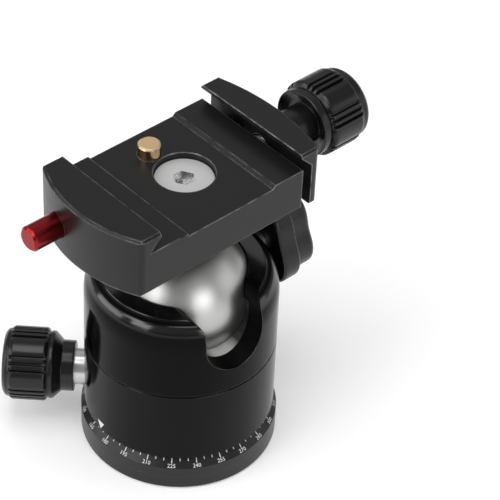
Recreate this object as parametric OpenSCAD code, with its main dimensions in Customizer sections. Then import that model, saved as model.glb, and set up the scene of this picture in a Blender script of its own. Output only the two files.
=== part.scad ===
// Compact tripod ball head with a screw-knob dovetail clamp.
// Millimetres. +Z is up, the origin is the centre of the base's bottom face.
// +X points from the safety button to the clamp knob, the drop slot opens towards -Y.

/* [Ball and stem] */
// Diameter of the ball
ball_d = 29; // [27:0.5:31]
// Diameter of the stem between the ball and the clamp
stem_d = 12; // [10:0.5:12.4]
// Height of the clamp's underside above the ball's centre
stem_reach = 21; // [20.6:0.2:24]
// How far the stem's spigot enters the clamp
spigot_h = 2; // [1.5:0.1:2.4]

/* [Housing] */
// Wall of the housing at the ball's equator
wall = 4.5; // [4:0.1:6]
// Height of the housing's lower shell
lower_h = 17.8; // [17.4:0.1:20]
// Height of the ball's centre above the seam of the two shells
ball_over_seam = 12.4; // [12.2:0.1:14]
// Height of the rim above the ball's centre
rim_up = 6.2; // [5.6:0.1:6.6]
// Radial width of the shoulder between the rim and the outer wall
shoulder_in = 2.5; // [2:0.1:3]
// Height of the rounded shoulder
shoulder_h = 6.6; // [5:0.1:8]
// Bevel on the outer edge of the rim
rim_bevel = 0.5; // [0.2:0.1:0.8]
// Depth of the groove at the seam
seam_groove = 0.25; // [0.1:0.05:0.4]
// Rounding of the housing's bottom edge
foot_round = 0.6; // [0.3:0.1:1]
// Width of the drop slot
slot_w = 13.7; // [13.2:0.1:14.4]
// Rounding where the drop slot meets the rim
slot_corner_r = 2.4; // [1.5:0.1:3]
// Turn of the drop slot about the pan axis, degrees
slot_turn = -6.5; // [-12:0.5:0]
// Diameter of the screws that join the two shells
shell_screw_d = 2.5; // [2:0.1:2.6]

/* [Liner] */
// Thickness of the plastic liner at the ball's equator
liner_t = 1; // [0.8:0.05:1.4]
// Thickness of the pressure cup under the ball
cup_floor = 1; // [0.8:0.1:1.4]
// Height of the upper seat ring above the ball's centre
seat_ring_h = 2.9; // [2.4:0.1:3.2]
// Depth of the upper seat ring below the ball's centre
seat_ring_low = 4.6; // [4.2:0.1:5.4]
// Height of the pair of disc springs
spring_stack = 2.9; // [2.6:0.1:3.4]
// Thickness of one disc spring
disc_t = 0.8; // [0.6:0.05:1]

/* [Panning base] */
// Diameter of the panning base
base_d = 41.6; // [41.6:0.2:46]
// Height of the panning base
base_h = 7.5; // [7:0.1:9]
// Height of the lower plate's rim under the scale ring
plate_rim_h = 3.2; // [2.6:0.1:3.8]
// Width of the bevel that carries the scale
scale_bevel = 1.8; // [1:0.1:2.2]
// Length of a long scale mark
mark_len = 1.2; // [0.8:0.1:1.6]
// Diameter of the pan spindle
spindle_d = 14; // [13.6:0.2:15]
// Depth of the tripod socket
socket_depth = 9; // [7:0.5:9.5]
// Tapped diameter of the tripod socket
socket_d = 8; // [7.9:0.1:8.6]

/* [Lock knob] */
// Direction of the lock knob about the pan axis, degrees
lock_turn = 0; // [-6:0.5:6]
// Mean diameter of the lock knob's grip
lock_d = 15.8; // [15:0.2:18]
// Rise of the three lobes over the mean radius
lobe_rise = 1.2; // [0.6:0.1:2]
// Length of the lock knob
lock_len = 9.8; // [8:0.2:14]
// Height of the lock axis above the ball's centre
lock_up = 1.2; // [0.4:0.1:1.6]
// Step of the flange on the lock knob
lock_flange = 1.2; // [0.6:0.1:1.6]
// Diameter of the brake shoe
shoe_d = 6.4; // [6:0.1:7]
// Diameter of the lock screw
lock_screw_d = 6; // [5:0.1:6]

/* [Pan knob] */
// Direction of the pan knob about the pan axis, degrees
pan_turn = 135.2; // [125:0.2:150]
// Height of the pan knob's axis above the housing's bottom
pan_up = 5.8; // [5.6:0.1:8]
// Diameter of the pan knob's grip
pan_d = 15.6; // [14:0.1:17]
// Length of the pan knob's grip
pan_grip = 9.4; // [7:0.1:12]
// Diameter of the pan knob's collar
pan_collar_d = 10.8; // [9.8:0.1:11.5]
// Diameter of the bright shaft behind the collar
pan_shaft_d = 7.8; // [7.6:0.1:9]
// Diameter of the pan lock screw
pan_screw_d = 6; // [5:0.1:6.4]

/* [Clamp] */
// Width of the clamp across the jaws' length
clamp_w = 30.2; // [29.2:0.2:36]
// Thickness of the clamp body under the plate's seat
bed_t = 9; // [9:0.1:11]
// Height of the jaws above the bed
jaw_h = 4.5; // [4:0.1:5.5]
// Height of the two seat strips above the bed
strip_h = 0.7; // [0.4:0.1:0.9]
// Distance from the stem's axis to the fixed jaw's lip
fixed_lip = 18.8; // [18:0.1:20.5]
// Distance from the stem's axis to the body's end at the moving jaw
body_end = 17.8; // [17:0.1:19]
// Thickness of the fixed jaw from its lip to the crown of its curve
fixed_jaw_t = 8.7; // [8:0.1:10]
// Radius of the fixed jaw's curved face
fixed_arc_r = 30.8; // [28:0.2:40]
// Radius of the moving jaw's curved face
moving_arc_r = 50; // [40:1:70]
// Rounding of the jaws' vertical corners
jaw_corner_r = 1.5; // [1:0.1:2]
// Chamfer along the jaws' top edges
jaw_chamfer = 0.5; // [0.3:0.1:0.8]
// Upright edge of each lip
lip_edge = 0.9; // [0.6:0.1:1.3]
// Overhang of each lip over the dovetail groove
lip_over = 2.6; // [2:0.1:2.8]
// Open gap between the body and the moving jaw
jaw_gap = 2.4; // [2.4:0.1:3]
// Thickness of the moving jaw from its inner face to its crown
moving_jaw_t = 4.1; // [3.8:0.1:5.5]
// Distance from the stem's axis to the step beside the fixed jaw
left_step = 12.1; // [11:0.1:13]
// Distance from the stem's axis to the step beside the moving jaw
right_step = 9.8; // [9:0.1:11]

/* [Clamp knob and screw] */
// Diameter of the clamp knob's grip
clamp_knob_d = 16.6; // [15:0.1:18]
// Length of the clamp knob
clamp_knob_len = 12.6; // [11:0.1:16]
// Length of the neck between the jaw and the clamp knob
neck_len = 6.8; // [5:0.1:9]
// Diameter of the clamp screw
clamp_screw_d = 5; // [4.5:0.1:5.4]
// Height of the clamp screw's axis above the clamp's underside
clamp_screw_up = 5.5; // [5.3:0.1:5.7]
// Diameter of the jaw's guide pins
guide_d = 3; // [2.5:0.1:3.2]
// Distance between the guide pins
guide_span = 20.4; // [19.6:0.2:21]
// Radius of a groove in the knobs' grips
flute_r = 0.5; // [0.3:0.05:0.6]

/* [Safety catch] */
// Diameter of the safety button
button_d = 5.3; // [4.8:0.1:5.4]
// How far the button stands out of the jaw's crown
button_out = 6.5; // [5:0.1:9]
// Travel of the button and of the safety pin
catch_travel = 2.8; // [2.2:0.1:2.9]
// Diameter of the button's rod
rod_d = 3; // [2.8:0.1:3.1]
// Diameter of the safety pin
pin_d = 4.8; // [4.6:0.1:5]
// Height of the safety pin above the bed
pin_up = 2.75; // [2.4:0.05:2.9]
// Distance of the safety pin from the stem's axis along the jaws
pin_y = 8.8; // [8.6:0.1:9]
// Distance of the button's axis from the stem's axis along the jaws
button_y = 6.4; // [6.2:0.1:6.6]

/* [Hidden] */
$fn = 96;

// Fits and gaps that several pieces share
run_fit = 0.03;
seat_gap = 0.05;
ball_fit = 0.06;
lip_gap = 0.3;
cut = 0.5;
far = 150;

// Ball and shells
ball_r = ball_d / 2;
stem_r = stem_d / 2;
bore_r = ball_r + ball_fit + liner_t + run_fit;
housing_r = bore_r + wall;
lower_z = base_h + lip_gap;
seam_z = lower_z + lower_h;
ball_z = seam_z + ball_over_seam;
rim_z = ball_z + rim_up;
rim_r = housing_r - shoulder_in;
lip_sphere_r = ball_r + lip_gap;
seat_top_z = ball_z + seat_ring_h + seat_gap;
cup_z = ball_z - ball_r - cup_floor;
floor_z = cup_z - spring_stack - 2 * seat_gap;
spigot_r = bore_r + wall / 2;
spigot_drop = 2;
shell_screw_r = shell_screw_d / 2;
shell_head_r = shell_screw_r * 1.6;
shell_pcr = housing_r - wall + shell_screw_r + 0.35;
shell_head_h = 2.4;
shell_grip = 4.6;
slot_r = slot_w / 2;

// Panning base
base_r = base_d / 2;
spindle_r = spindle_d / 2;
socket_r = socket_d / 2;
bush_wall = 2;
bush_r = socket_r + bush_wall;
bush_flange_w = 2;
bush_flange_r = bush_r + bush_flange_w;
bush_flange_h = 1.4;
bush_over = 1;
bush_top = socket_depth + bush_over;
flange_w = 4;
flange_r = spindle_r + flange_w;
flange_drop = 3.5;
flange_z = base_h - flange_drop;
hub_drop = 1;
hub_z = base_h - hub_drop;
slip_w = 4;
ring_bore_r = flange_r + slip_w;
slip_in_r = flange_r + seat_gap;
slip_gap = 0.4;
slip_out_r = ring_bore_r - slip_gap;
spindle_screw_r = 1;
spindle_head_r = 1.75;
spindle_sink_r = spindle_head_r + 0.25;
spindle_sink_z = hub_z - 1;
spindle_pcr = (spindle_r + flange_r) / 2;
keeper_w = 2.4;
keeper_r = spindle_r + keeper_w;
keeper_t = 1.3;
keeper_screw_r = 2.5;
keeper_head_r = 4.2;
keeper_head_h = 1.4;
keeper_depth = 6.8;
keeper_hex_r = 1.7;
mark_count = 72;
mark_w = 0.22;

// Lock knob
lock_z = ball_z + lock_up;
lock_r = lock_d / 2;
shoe_r = shoe_d / 2;
lock_screw_r = lock_screw_d / 2;
shoe_gap = 0.35;
pocket_r = shoe_r + 0.08;
pocket_x = housing_r - wall / 2;
shoe_back = pocket_x - 0.45;
lock_x = housing_r + 0.5;
lock_phase = 220;
lock_edge = 1.9;
lock_cap_r = lock_r - lobe_rise - lock_edge - 0.9;
lock_flange_len = 4.6;
lock_cap_seat = 1.6;

// Pan knob
pan_z = lower_z + pan_up;
pan_r = pan_d / 2;
pan_collar_r = pan_collar_d / 2;
pan_shaft_r = pan_shaft_d / 2;
pan_screw_r = pan_screw_d / 2;
pan_recess_r = pan_shaft_r + 0.3;
pan_recess_x = housing_r - 1.6;
pad_gap = 0.3;
pad_len = 4;
pad_x = spindle_r + pad_gap;
pan_collar_x = housing_r + 2;
pan_collar_len = 2.6;
pan_cone = 1.7;
pan_shoulder = 1.2;
pan_ring_r = pan_r - 0.6;
pan_end_ring = 1.7;
pan_grip_x = pan_collar_x + pan_collar_len + pan_cone + pan_shoulder;
pan_end = pan_grip_x + pan_grip;
pan_shaft_seat = 3.5;
pan_grip_phase = 11;
pan_cap_wall = 2.6;
pan_cap_r = pan_r - pan_cap_wall;
cap_seat = 1.2;
cap_t = 1;

// Clamp
clamp_z = ball_z + stem_reach;
bed_z = clamp_z + bed_t;
strip_z = bed_z + strip_h;
jaw_top = bed_z + jaw_h;
half_w = clamp_w / 2;
crown_x = -fixed_lip - fixed_jaw_t;
undercut_z = jaw_top - lip_edge - lip_over;
jaw_x = body_end + jaw_gap;
moving_crown = jaw_x + moving_jaw_t;
moving_lip = jaw_x - lip_over - 0.2;
jaw_foot_z = clamp_z - 0.2;
body_chamfer = 0.4;

// Screw through the clamp into the stem
m6_r = 3;
head_r = 6;
head_rim = 0.3;
head_top = bed_z - 1.4;
cone_top = head_top - head_rim;
cone_bottom = cone_top - (head_r - m6_r);
recess_r = head_r + 0.2;
hex_af = 4;
hex_depth = 2.2;
stem_screw_reach = 11;
screw_end = clamp_z - stem_screw_reach;

// Clamp screw and knob
screw_z = clamp_z + clamp_screw_up;
screw_r = clamp_screw_d / 2;
tip_wall = 4.2;
screw_tip = recess_r + tip_wall;
screw_bore_wall = 1.3;
screw_bore_x = recess_r + screw_bore_wall;
washer_seat = moving_crown - 0.4;
washer_t = 0.8;
neck_x = washer_seat + washer_t + seat_gap;
neck_wall = 1.7;
neck_r = screw_r + neck_wall;
knob_x = neck_x + neck_len;
knob_end = knob_x + clamp_knob_len;
clamp_knob_r = clamp_knob_d / 2;
clamp_cap_wall = 2.8;
clamp_cap_r = clamp_knob_r - clamp_cap_wall;
knob_rim_in = 1;
knob_rim_r = clamp_knob_r - knob_rim_in;
knob_rim_len = 2;
knob_end_in = 1.4;
knob_end_len = 2.9;
knob_screw_x = knob_x + clamp_knob_len * 0.6;
guide_r = guide_d / 2;
guide_drop = 0.9;
guide_z = screw_z - guide_drop;
guide_tip = 6.5;
guide_bore_x = 3;
guide_seat = 1.8;
spring_pocket_x = 12;
spring_pocket_r = guide_r + 0.95;
jaw_wire = 0.5;

// Safety catch
button_r = button_d / 2;
button_drop = 3.2;
button_z = bed_z - button_drop;
button_x = crown_x - button_out;
button_bore_r = button_r + 2 * run_fit;
button_head = 9.8;
button_spring_h = 6.9;
button_back = button_x + button_head;
button_floor = button_back + button_spring_h;
rod_r = rod_d / 2;
rod_bore_r = rod_r + seat_gap;
pin_spring_r = 1.2;
pin_spring_hole = pin_spring_r + 0.15;
pin_x = -1.6;
pin_r = pin_d / 2;
pin_bore_r = pin_r + run_fit + 0.01;
pin_top = bed_z + pin_up;
pin_floor = 0.8;
pin_foot = clamp_z + pin_floor + catch_travel;
plug_t = 0.7;
plug_lip = 0.2;
plug_r = pin_r + plug_lip;
plug_slot_w = 0.6;
plug_slot_d = 0.25;
blade_low = button_z - 0.9;
blade_top = button_z + 0.2;
blade_h = blade_top - blade_low;
blade_tip = pin_x - 1.05;
ramp_x = blade_tip - blade_h + seat_gap;
rod_end = pin_x - pin_r - catch_travel - 0.2;
blade_w = 2.44;
rod_bore_end = rod_end + catch_travel + 0.5;
spring_top = blade_low + pin_x - pin_spring_hole - ramp_x - 0.15;
notch_y = button_y + 1.35;
stop_x = -12;
stop_r = 1.25;
stop_flat = rod_r - 0.9;
pin_wire = 0.3;

button_wire = 0.4;

// Points of an arc in the plane, from one angle to another
function arc(c, r, a0, a1, steps) =
    [for (i = [0 : steps]) let (a = a0 + (a1 - a0) * i / steps) c + r * [cos(a), sin(a)]];

// Points of a quarter ellipse from the outer wall up and in to the rim
function shoulder(r0, z0, dr, dz, steps) =
    [for (i = [0 : steps]) let (a = 90 * i / steps) [r0 - dr * (1 - cos(a)), z0 + dz * sin(a)]];

// A lobed outline: the radius rises and falls as a cosine round the axis
function lobed(r, rise, phase, count) =
    [for (i = [0 : count - 1]) let (a = 360 * i / count, q = r + rise * cos(3 * (a - phase)))
        [q * cos(a), q * sin(a)]];

// Puts a piece that is built about +Z on an axis along +X of the drawing
module along_x(x, y, z) translate([x, y, z]) rotate([0, 90, 0]) children();

// Places a piece that is built along +X on a radial axis of the housing
module radial(turn, z) rotate([0, 0, turn]) translate([0, 0, z]) children();

module drum(r, z0, z1) translate([0, 0, z0]) cylinder(r = r, h = z1 - z0);

module tube(r_out, r_in, z0, z1) rotate_extrude() translate([r_in, z0]) square([r_out - r_in, z1 - z0]);

// Solid through a stack of outlines, one ring of points at each height
module loft(rings) {
    n = len(rings[0]);
    last = len(rings) - 1;
    points = [for (ring = rings, p = ring) p];
    sides = [for (k = [0 : last - 1], i = [0 : n - 1]) let (j = (i + 1) % n)
        [k * n + i, (k + 1) * n + i, (k + 1) * n + j, k * n + j]];
    floor_face = [for (i = [0 : n - 1]) i];
    roof_face = [for (i = [n - 1 : -1 : 0]) last * n + i];
    polyhedron(points, concat([floor_face], sides, [roof_face]), convexity = 6);
}

// Wound wire: a small round section swept up a helix
module coil(r, wire, length, turns) {
    steps = 14 * turns;
    sides = 6;
    rise = (length - wire) / steps;
    lift = atan2(rise * 14, 2 * PI * r);
    rings = [for (k = [0 : steps]) [for (i = [0 : sides - 1])
        let (a = 360 * k / 14, b = -360 * i / sides, u = r + wire / 2 * cos(b), w = wire / 2 * sin(b))
        [u * cos(a) + w * sin(lift) * sin(a), u * sin(a) - w * sin(lift) * cos(a),
            wire / 2 + rise * k + w * cos(lift)]]];
    loft(rings);
}

// Grip outline: a circle with groups of three round grooves
module fluted(r, groups) {
    difference() {
        circle(r = r);
        for (g = [0 : groups - 1], k = [-1 : 1]) {
            rotate(360 / groups * (g + k / 6)) translate([r + flute_r * 0.1, 0]) circle(r = flute_r);
        }
    }
}

// Upright drum whose top edge is chamfered
module chamfered_drum(r, z0, z1, c) rotate_extrude() polygon([[0, z0], [r, z0], [r, z1 - c], [r - c, z1], [0, z1]]);

// Block with one curved end: its crown at x = 0, its flat end at x_in, both corners rounded
module d_block(x_in, arc_r, z0, z1) {
    post_y = half_w - jaw_corner_r;
    post_x = arc_r - sqrt(pow(arc_r - jaw_corner_r, 2) - pow(post_y, 2));
    meet = 174 - asin(post_y / (arc_r - jaw_corner_r));
    corner = arc([post_x, post_y], jaw_corner_r, 90, meet, 6);
    ahead = corner[6][0] + corner[6][1] * tan(meet);
    intersection() {
        translate([arc_r, 0, 0]) chamfered_drum(arc_r, z0, z1, jaw_chamfer);
        translate([0, 0, z0]) linear_extrude(z1 - z0) polygon(concat([[x_in, half_w]], corner, [[ahead, 0]],
            [for (k = [6 : -1 : 0]) [corner[k][0], -corner[k][1]]], [[x_in, -half_w]]));
        rotate([90, 0, 90]) linear_extrude(x_in) polygon([
            [-half_w + body_chamfer, z0], [half_w - body_chamfer, z0], [half_w, z0 + body_chamfer],
            [half_w, z1 - jaw_chamfer], [half_w - jaw_chamfer, z1], [jaw_chamfer - half_w, z1],
            [-half_w, z1 - jaw_chamfer], [-half_w, z0 + body_chamfer]]);
    }
}

// Space that the stem drops into: a round-bottomed slot through the wall
module drop_slot() {
    rotate([0, 0, slot_turn]) translate([0, 0, ball_z]) {
        rotate([90, 0, 0]) cylinder(r = slot_r, h = far);
        translate([-slot_r, -far, 0]) cube([slot_w, far, far]);
        for (side = [-1, 1]) {
            mirror([side < 0 ? 1 : 0, 0, 0]) difference() {
                translate([slot_r - cut, -far, rim_up - slot_corner_r]) cube([slot_corner_r + cut, far, far]);
                translate([slot_r + slot_corner_r, 0, rim_up - slot_corner_r]) rotate([90, 0, 0])
                    cylinder(r = slot_corner_r, h = far);
            }
        }
    }
}

module shell_screw_places() {
    for (k = [0 : 2]) rotate([0, 0, pan_turn + 60 + 120 * k]) translate([shell_pcr, 0, 0]) children();
}

module base_plate() color("#202124") difference() {
    rotate_extrude() polygon([[0, 0], [base_r - body_chamfer, 0], [base_r, body_chamfer], [base_r, plate_rim_h],
        [ring_bore_r, plate_rim_h], [ring_bore_r, hub_z], [0, hub_z]]);
    drum(bush_flange_r + run_fit, -cut, bush_flange_h);
    drum(bush_r + run_fit, 0, far);
    drum(flange_r + run_fit, flange_z, far);
    for (k = [0 : 3]) rotate([0, 0, 45 + 90 * k]) translate([spindle_pcr, 0, 0])
        drum(spindle_screw_r, bush_flange_h + 0.4, far);
}

module scale_ring() color("#26272a") difference() {
    rotate_extrude() polygon([[ring_bore_r + run_fit, plate_rim_h], [base_r, plate_rim_h],
        [base_r, base_h - scale_bevel], [base_r - scale_bevel, base_h], [ring_bore_r + run_fit, base_h]]);
    for (k = [0 : mark_count - 1]) {
        long = k % 3 == 0 ? mark_len : mark_len * 0.6;
        rotate([0, 0, 360 / mark_count * k]) translate([base_r - scale_bevel, 0, base_h]) rotate([0, 45, 0])
            translate([0.2, -mark_w / 2, -0.12]) cube([long, mark_w, 1]);
    }
}

module tripod_socket() color("#9a9b9e") difference() {
    union() {
        drum(bush_flange_r, 0, bush_flange_h);
        drum(bush_r, 0, bush_top);
    }
    drum(socket_r, -cut, socket_depth);
}

module pan_spindle() color("#8f9194") difference() {
    union() {
        drum(flange_r, flange_z, hub_z - seat_gap);
        drum(spindle_r, flange_z, floor_z + 2 * seat_gap);
    }
    drum(bush_r + run_fit, 0, bush_top + seat_gap);
    drum(keeper_screw_r, floor_z - keeper_depth - 0.2, far);
    for (k = [0 : 3]) rotate([0, 0, 45 + 90 * k]) translate([spindle_pcr, 0, 0]) {
        drum(spindle_screw_r + seat_gap, 0, far);
        translate([0, 0, spindle_sink_z]) cylinder(r1 = spindle_screw_r, r2 = spindle_sink_r,
            h = spindle_sink_r - spindle_screw_r);
    }
}

module spindle_screws() color("#55575a") {
    for (k = [0 : 3]) rotate([0, 0, 45 + 90 * k]) translate([spindle_pcr, 0, 0]) difference() {
        union() {
            drum(spindle_screw_r, bush_flange_h + 0.5, hub_z - 0.4);
            translate([0, 0, spindle_sink_z + seat_gap]) cylinder(r1 = spindle_screw_r, r2 = spindle_head_r,
                h = spindle_head_r - spindle_screw_r);
        }
        drum(spindle_screw_r / 2, hub_z - 0.8, far);
    }
}

module pan_slip_ring() color("#e8e6df") tube(slip_out_r, slip_in_r, hub_z, lower_z - run_fit);

module pan_retaining_washer() color("#b9babc")
    tube(keeper_r, keeper_screw_r + seat_gap, floor_z + 2 * seat_gap, floor_z + 2 * seat_gap + keeper_t);

module pan_retaining_screw() color("#55575a") {
    head_z = floor_z + 2 * seat_gap + keeper_t;
    difference() {
        union() {
            drum(keeper_screw_r, floor_z - keeper_depth, head_z + cut);
            drum(keeper_head_r, head_z, head_z + keeper_head_h);
        }
        translate([0, 0, head_z]) cylinder(r = keeper_hex_r, h = far, $fn = 6);
    }
}

module housing_lower() color("#1b1c1f") difference() {
    rotate_extrude() polygon(concat([[spindle_r + run_fit, lower_z]],
        arc([housing_r - foot_round, lower_z + foot_round], foot_round, -90, 0, 5),
        [[housing_r, seam_z - seam_groove], [housing_r - seam_groove, seam_z], [spigot_r, seam_z],
        [spigot_r, seam_z - spigot_drop], [bore_r, seam_z - spigot_drop], [bore_r, floor_z],
        [spindle_r + run_fit, floor_z]]));
    shell_screw_places() {
        drum(shell_head_r + seat_gap, 0, lower_z + shell_head_h + seat_gap);
        drum(shell_screw_r + seat_gap, 0, far);
    }
    radial(pan_turn, pan_z) {
        along_x(0, 0, 0) cylinder(r = pan_screw_r + run_fit, h = far);
        along_x(pan_recess_x, 0, 0) cylinder(r = pan_recess_r, h = far);
    }
}

module housing_upper() color("#1b1c1f") difference() {
    rotate_extrude() polygon(concat([[bore_r, seam_z - spigot_drop + seat_gap],
        [spigot_r - run_fit, seam_z - spigot_drop + seat_gap], [spigot_r - run_fit, seam_z],
        [housing_r - seam_groove, seam_z], [housing_r, seam_z + seam_groove]],
        shoulder(housing_r, rim_z - shoulder_h, shoulder_in, shoulder_h - rim_bevel, 10),
        [[rim_r - rim_bevel, rim_z]],
        arc([0, ball_z], lip_sphere_r, asin(rim_up / lip_sphere_r), asin((seat_top_z - ball_z) / lip_sphere_r), 6),
        [[bore_r, seat_top_z]]));
    drop_slot();
    shell_screw_places() drum(shell_screw_r, 0, seam_z + shell_grip);
    radial(lock_turn, lock_z) {
        along_x(0, 0, 0) cylinder(r = lock_screw_r + run_fit, h = far);
        along_x(0, 0, 0) cylinder(r = pocket_r, h = pocket_x);
        along_x(housing_r - 0.4, 0, 0) cylinder(r = lock_screw_r + 3, h = far);
    }
}

module housing_screws() color("#55575a") shell_screw_places() difference() {
    union() {
        drum(shell_screw_r, lower_z + 0.5, seam_z + shell_grip - 0.4);
        drum(shell_head_r, lower_z + 0.2, lower_z + shell_head_h);
    }
    translate([0, 0, lower_z]) cylinder(r = shell_screw_r * 0.9, h = 1.4, $fn = 6);
}

module pressure_cup() color("#d9d8d2") difference() {
    drum(bore_r - run_fit, cup_z, ball_z - seat_ring_low - seat_gap);
    translate([0, 0, ball_z]) sphere(r = ball_r + ball_fit);
    drum(keeper_r + 0.4, 0, cup_z + 0.6);
    drum(keeper_head_r + 0.8, 0, far);
    drop_slot();
}

module disc_springs() color("#a7a9ac") {
    in_r = keeper_r + 0.7;
    out_r = bore_r - 0.3;
    cone = spring_stack / 2 - disc_t;
    z1 = floor_z + seat_gap;
    z2 = z1 + spring_stack;
    rotate_extrude() polygon([[out_r, z1], [out_r, z1 + disc_t], [in_r, z1 + disc_t + cone], [in_r, z1 + cone]]);
    rotate_extrude() polygon([[out_r, z2], [out_r, z2 - disc_t],
        [in_r, z2 - disc_t - cone + run_fit], [in_r, z2 - cone]]);
}

module upper_seat_ring() color("#d9d8d2") difference() {
    drum(bore_r - run_fit, ball_z - seat_ring_low, seat_top_z - run_fit);
    translate([0, 0, ball_z]) sphere(r = ball_r + ball_fit);
    drop_slot();
    radial(lock_turn, lock_z) along_x(0, 0, 0) cylinder(r = pocket_r, h = far);
}

module ball_stem() color("#c9cacc") difference() {
    union() {
        translate([0, 0, ball_z]) sphere(r = ball_r);
        drum(stem_r, ball_z, clamp_z + spigot_h - seat_gap);
    }
    drum(m6_r + run_fit, screw_end - 1, far);
}

module brake_shoe() color("#c8a14b") radial(lock_turn, 0) difference() {
    along_x(ball_r * 0.8, 0, lock_z) cylinder(r = shoe_r, h = shoe_back - ball_r * 0.8);
    translate([0, 0, ball_z]) sphere(r = ball_r + shoe_gap);
}

module lock_screw() color("#8f9194") radial(lock_turn, lock_z)
    along_x(shoe_back + seat_gap, 0, 0) cylinder(r = lock_screw_r, h = lock_x + lock_len * 0.6 - shoe_back);

// One cross-section of the lock knob at a distance along its axis
function lock_ring(x, r) = [for (p = lobed(r, lobe_rise, lock_phase, 48)) [x, p[0], p[1]]];

module lock_knob() color("#18191b") radial(lock_turn, lock_z) difference() {
    loft(concat([lock_ring(lock_x, lock_r + lock_flange - 0.5),
        lock_ring(lock_x + 0.5, lock_r + lock_flange),
        lock_ring(lock_x + lock_flange_len - 0.5, lock_r + lock_flange),
        lock_ring(lock_x + lock_flange_len, lock_r + lock_flange - 0.3),
        lock_ring(lock_x + lock_flange_len + 0.2, lock_r + 0.1)],
        [for (a = [0 : 22.5 : 90]) lock_ring(lock_x + lock_len - lock_edge * (1 - sin(a)),
            lock_r - lock_edge * (1 - cos(a)))]));
    along_x(0, 0, 0) cylinder(r = lock_screw_r, h = lock_x + lock_len * 0.6 + seat_gap);
    along_x(lock_x + lock_len - lock_cap_seat, 0, 0) cylinder(r = lock_cap_r, h = far);
}

module lock_knob_cap() color("#2a2b2e") radial(lock_turn, lock_z) along_x(lock_x + lock_len - lock_cap_seat, 0, 0)
    chamfered_drum(lock_cap_r - run_fit, 0, lock_cap_seat - 0.2, 0.3);

module pan_brake_pad() color("#c8a14b") radial(pan_turn, 0) difference() {
    along_x(spindle_r * 0.8, 0, pan_z) cylinder(r = pan_screw_r, h = pad_x + pad_len - spindle_r * 0.8);
    drum(pad_x, 0, far);
}

module pan_lock_screw() color("#b9babc") radial(pan_turn, pan_z) {
    start = pad_x + pad_len + seat_gap;
    along_x(start, 0, 0) cylinder(r = pan_screw_r, h = pan_recess_x + 0.6 - start);
    along_x(pan_recess_x + 0.45, 0, 0) cylinder(r = pan_shaft_r, h = pan_grip_x + 3 - pan_recess_x);
}

module pan_knob() color("#18191b") radial(pan_turn, pan_z) difference() {
    land_x = pan_grip_x + 0.4;
    ring_x = pan_end - pan_end_ring;
    union() {
        along_x(0, 0, 0) rotate_extrude() polygon([[0, pan_collar_x], [pan_collar_r - 0.3, pan_collar_x],
            [pan_collar_r, pan_collar_x + 0.3], [pan_collar_r, pan_collar_x + pan_collar_len],
            [pan_ring_r - 0.2, pan_grip_x - pan_shoulder], [pan_ring_r, pan_grip_x - pan_shoulder + 0.3],
            [pan_ring_r, pan_grip_x], [pan_r - 0.1, land_x], [0, land_x]]);
        along_x(land_x, 0, 0) rotate([0, 0, pan_grip_phase]) linear_extrude(ring_x - land_x) fluted(pan_r, 6);
        along_x(land_x - cut / 2, 0, 0) cylinder(r = pan_cap_r + cut, h = ring_x - land_x + cut);
        along_x(0, 0, 0) rotate_extrude() polygon([[0, ring_x], [pan_r - 0.1, ring_x],
            [pan_ring_r, ring_x + 0.5], [pan_ring_r, pan_end - 0.8], [pan_ring_r - 0.8, pan_end], [0, pan_end]]);
    }
    along_x(0, 0, 0) cylinder(r = pan_shaft_r, h = pan_grip_x + pan_shaft_seat);
    along_x(pan_end - cap_seat, 0, 0) cylinder(r = pan_cap_r, h = far);
}

module pan_knob_cap() color("#2a2b2e") radial(pan_turn, pan_z) along_x(pan_end - cap_seat, 0, 0)
    chamfered_drum(pan_cap_r - run_fit, 0, cap_t, 0.3);

// Side view of the clamp body: bed, two seat strips and the fixed jaw's undercut lip
function body_profile() = [[crown_x - cut, clamp_z - cut], [body_end, clamp_z - cut],
    [body_end, strip_z], [right_step + strip_h, strip_z], [right_step, bed_z],
    [-left_step, bed_z], [-left_step, strip_z], [-fixed_lip - lip_over, strip_z],
    [-fixed_lip - lip_over, undercut_z], [-fixed_lip, jaw_top - lip_edge],
    [-fixed_lip, jaw_top + cut], [crown_x - cut, jaw_top + cut]];

module clamp_body() color("#222326") difference() {
    intersection() {
        translate([crown_x, 0, 0]) d_block(body_end - crown_x, fixed_arc_r, clamp_z, jaw_top);
        translate([0, half_w + 1, 0]) rotate([90, 0, 0]) linear_extrude(clamp_w + 2) polygon(body_profile());
    }
    drum(stem_r + run_fit, 0, clamp_z + spigot_h);
    drum(m6_r + 0.1, 0, far);
    translate([0, 0, cone_bottom - seat_gap]) cylinder(r1 = m6_r + seat_gap, r2 = recess_r,
        h = recess_r - m6_r - seat_gap);
    drum(recess_r, cone_top + seat_gap, far);
    along_x(screw_bore_x, 0, screw_z) cylinder(r = screw_r + run_fit, h = far);
    for (side = [-1, 1]) translate([0, side * guide_span / 2, guide_z]) {
        along_x(guide_bore_x, 0, 0) cylinder(r = guide_r + run_fit, h = far);
        along_x(spring_pocket_x, 0, 0) cylinder(r = spring_pocket_r, h = far);
    }
    along_x(-far, button_y, button_z) cylinder(r = button_bore_r, h = button_floor + far);
    along_x(-far, button_y, button_z) cylinder(r = rod_bore_r, h = rod_bore_end + far);
    translate([stop_x, button_y - blade_w / 2 - 0.04, blade_low - seat_gap])
        cube([blade_tip + catch_travel + 0.3 - stop_x, blade_w + 0.08, blade_h + 2 * seat_gap]);
    translate([pin_x, pin_y, 0]) {
        drum(pin_bore_r, clamp_z + plug_t, far);
        drum(plug_r, clamp_z - cut, clamp_z + plug_t);
    }
    translate([stop_x, button_y, 0]) drum(stop_r, clamp_z - cut, button_z);
}

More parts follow.
